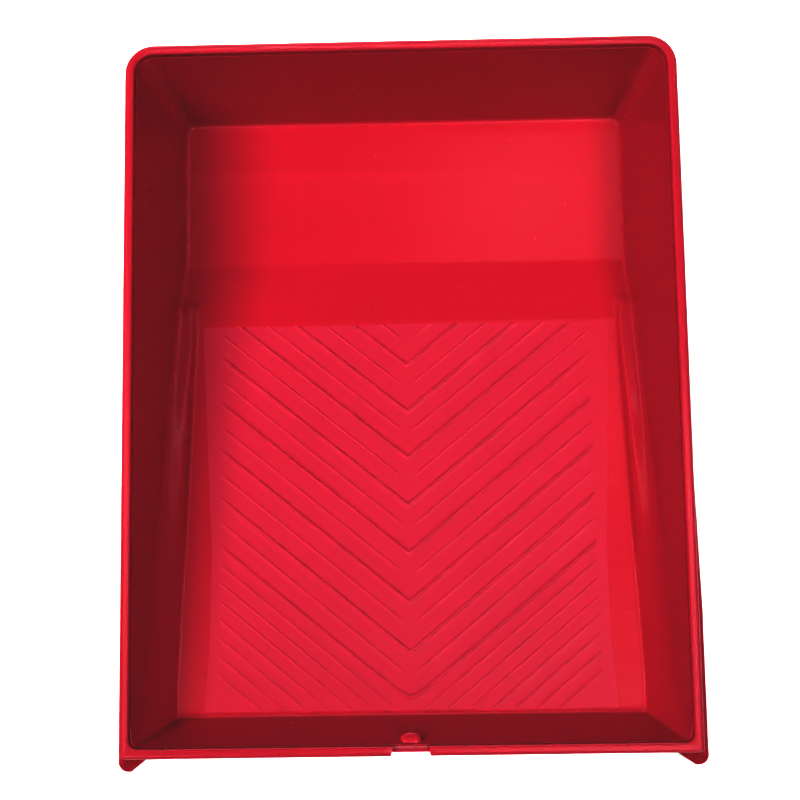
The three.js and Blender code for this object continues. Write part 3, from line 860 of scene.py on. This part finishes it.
finish_piece(
    make_shell(), SMOOTH, "red_plastic_smooth", "well_floor", "entry_slope", "far_wall",
    "front_wall", *both("well_wall", "ramp_wall", "shoulder", "far_corner", "front_corner"),
)
finish_piece(make_panel(), RIBBED, "red_plastic_ribbed", "ramp_panel")
finish_piece(
    make_rim(), SMOOTH, "red_plastic_smooth", "rim_far",
    *both("rim", "rim_front", "rim_far_corner", "rim_front_corner"),
)
finish_piece(make_lip(), SMOOTH, "red_plastic_smooth", "pouring_lip")
finish_piece(make_nub(), SMOOTH, "red_plastic_smooth", "front_nub")
for side, hand in zip(SIDES, (-1, 1)):
    finish_piece(
        make_leg(f"leg_{side}", hand), MATT_PAINTED_LIGHTER, "red_plastic_smooth",
        f"leg_side_{side}", f"leg_front_{side}",
    )

# ---------------------------------------------------------------- floor, camera and light

# From here on, lengths are in metres.
FLOOR_HALF = 3.0
FLOOR_DROP = 0.0003  # keeps the floor clear of the tray's underside

corners = ((-1, -1), (1, -1), (1, 1), (-1, 1))
floor_mesh = bpy.data.meshes.new("floor")
floor_mesh.from_pydata(
    [(x * FLOOR_HALF, y * FLOOR_HALF, -FLOOR_DROP) for x, y in corners], [], [(0, 1, 2, 3)]
)
floor = bpy.data.objects.new("floor", floor_mesh)
bpy.context.scene.collection.objects.link(floor)
floor_mesh.materials.append(pale_floor())

# The camera's place, turn and lens are fitted to the photograph.
camera_data = bpy.data.cameras.new("camera")
camera_data.sensor_width = 36
camera_data.lens = 60.93
camera_data.dof.use_dof = False
camera = bpy.data.objects.new("camera", camera_data)
camera.location = (0.0083, -0.0812, 0.7511)
camera.rotation_mode = "ZYX"
camera.rotation_euler = Euler([math.radians(a) for a in (6.988, 0.922, -0.988)], "ZYX")
bpy.context.scene.collection.objects.link(camera)
bpy.context.scene.camera = camera


def softbox(name, location, target, size, power, diffuse=True, glossy=True, spread=180):
    """A rectangular soft light that faces a target point, with its spread in degrees."""
    light = bpy.data.lights.new(name, "AREA")
    light.shape = "RECTANGLE"
    light.size, light.size_y = size
    light.energy = power
    light.spread = math.radians(spread)
    lamp = bpy.data.objects.new(name, light)
    lamp.location = location
    lamp.rotation_mode = "QUATERNION"
    lamp.rotation_quaternion = (Vector(target) - Vector(location)).to_track_quat("-Z", "Y")
    lamp.visible_diffuse = diffuse
    lamp.visible_glossy = glossy
    bpy.context.scene.collection.objects.link(lamp)


# The light on the plastic: two halves of a key on the left, and a fill on the right.
softbox("key_far", (-1.35, 0.32, 1.84), (0, 0.1, 0), (0.34, 0.5), 2.75, glossy=False, spread=45)
softbox("key_near", (-0.9, -0.35, 1.97), (0, 0.02, 0), (0.34, 0.5), 2.2, glossy=False, spread=45)
softbox("fill", (0.716, -0.2, 2.08), (0, 0.07, 0), (0.4, 0.6), 3.0, glossy=False, spread=45)

# The lights that only show as reflections, each placed where one face mirrors it to the camera.
for name, location, target, size, power in (
    ("well_reflection", (0.17, 0.455, 1.2), (0.05, 0.12, 0), (0.22, 0.22), 0.85),
    ("sheen_left", (-0.24, 0.06, 2.0), (0, 0, 0), (0.26, 0.4), 0.5),
    ("sheen_right", (0.24, 0.06, 2.0), (0, 0, 0), (0.26, 0.4), 0.5),
    ("rib_strip_left", (-0.75, -1.1, 1.4), (0, 0, 0), (0.8, 0.5), 9),
    ("rib_strip_right", (0.65, -1.1, 1.4), (0, 0, 0), (0.8, 0.5), 9),
    ("far_rim_strip", (0, 2.5, 0.3), (0, 0.18, 0.077), (2.2, 0.4), 40),
    ("left_rim_glint", (-0.8, 0.05, 1.6), (-0.14, 0, 0), (0.22, 0.6), 2.4),
    ("right_rim_glint", (0.78, 0.05, 1.6), (0.14, 0, 0), (0.22, 0.6), 2.2),
    ("near_rim_glint", (0.25, -0.69, 1.6), (0.08, -0.18, 0), (0.5, 0.3), 3.2),
    ("left_brim_glint", (1.17, 0.98, 1.4), (-0.12, 0.02, 0), (0.8, 0.6), 3),
    ("right_brim_glint", (-1.17, 0.98, 1.4), (0.12, 0.02, 0), (0.8, 0.6), 3),
):
    softbox(name, location, target, size, power, diffuse=False)

# The top of the far rim mirrors a row of narrow beams, which pass over the rest of the tray.
BEAM_COUNT = 9
BEAM_PITCH = 0.032  # along the rim
BEAM_FAN = 3.26  # the beams start this many times farther apart than they land
BEAM_POWER = 0.0065
BEAM_POWER_FALL = 0.012  # per metre to the right
for i in range(BEAM_COUNT):
    x = BEAM_PITCH * (i - BEAM_COUNT // 2)
    softbox(
        f"far_rim_glint_{i}", (BEAM_FAN * x, 1.1, 1.6), (x, 0.275, 0.077), (0.13, 0.1),
        BEAM_POWER - BEAM_POWER_FALL * x, diffuse=False, spread=5,
    )

world = bpy.data.worlds.new("studio")
world.use_nodes = True
world.node_tree.nodes["Background"].inputs["Color"].default_value = (1, 1, 1, 1)
world.node_tree.nodes["Background"].inputs["Strength"].default_value = 0.05
bpy.context.scene.world = world

# A contrasty picture with a pale veil over its dark parts.
view = bpy.context.scene.view_settings
view.view_transform = "Standard"
view.look = "None"
view.gamma = 0.5
view.use_curve_mapping = True
view.curve_mapping.black_level = (-0.065, -0.065, -0.065)
view.curve_mapping.update()
